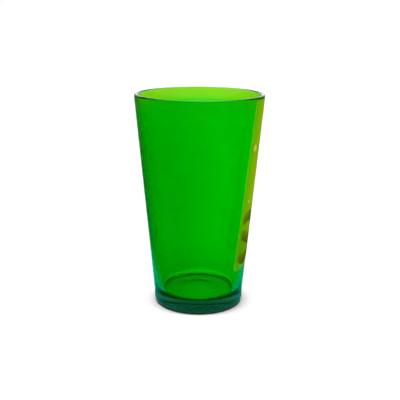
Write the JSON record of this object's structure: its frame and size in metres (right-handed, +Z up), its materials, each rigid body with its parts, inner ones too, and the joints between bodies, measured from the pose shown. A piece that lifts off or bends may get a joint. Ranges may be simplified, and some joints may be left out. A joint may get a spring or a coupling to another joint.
{
  "type": "tapered drinking glass",
  "caption": "Tapered pint-type tumbler with a thick clear base, bare rounded lip, translucent green outside coat and a printed side panel; it stands on its base and holds a cold drink.",
  "frame": {"origin": "middle of the face that the glass stands on", "axes": "+Z up along the glass's own axis, the middle of the print towards +X, the pictured front towards -Y"},
  "size_m": [0.0896, 0.0896, 0.1492],
  "materials": {
    "clear_glass": "clear pressed glass with a faint aqua tint, fire polished",
    "green_lacquer": "translucent green coat, glossy",
    "yellow_ink": "screen printed ink, matt",
    "amber_ink": "screen printed ink, matt",
    "pale_ink": "screen printed ink, matt"
  },
  "bodies": {
    "root": {"glass_body": "clear_glass", "green_coat": "green_lacquer", "print_panel": "yellow_ink", "print_swell_1": "amber_ink", "print_swell_2": "amber_ink", "print_swell_3": "amber_ink", "print_bubble_1": "pale_ink", "print_bubble_2": "pale_ink", "print_bubble_3": "pale_ink", "print_bubble_4": "pale_ink", "print_bubble_5": "pale_ink", "print_bubble_6": "pale_ink", "print_bubble_7": "pale_ink", "print_bubble_8": "pale_ink"}
  },
  "joints": []
}
